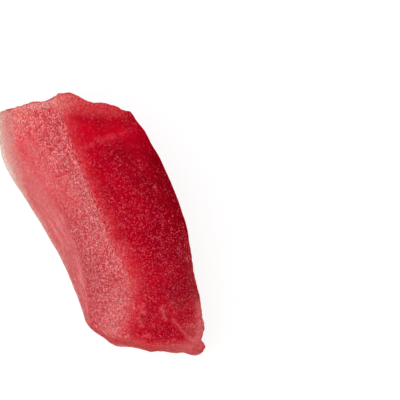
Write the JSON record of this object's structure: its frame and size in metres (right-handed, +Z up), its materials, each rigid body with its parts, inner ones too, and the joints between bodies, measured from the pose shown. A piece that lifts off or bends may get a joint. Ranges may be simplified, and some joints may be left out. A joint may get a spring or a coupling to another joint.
{
  "type": "tuna sashimi slice",
  "caption": "Thick slanting slice of raw red tuna with a ridge along its top, two skew cut ends with ragged rims and a flat underside.",
  "frame": {"origin": "centre of the slice's bounding box, on the surface it lies on", "axes": "+Z up, away from the surface; +Y along the slice's length, from its near cut end to its far one; +X towards its undercut side"},
  "size_m": [0.0336, 0.0606, 0.0158],
  "materials": {
    "raw_tuna": "moist raw red flesh, softly glossy"
  },
  "bodies": {
    "root": {"tuna_slice": "raw_tuna"}
  },
  "joints": []
}
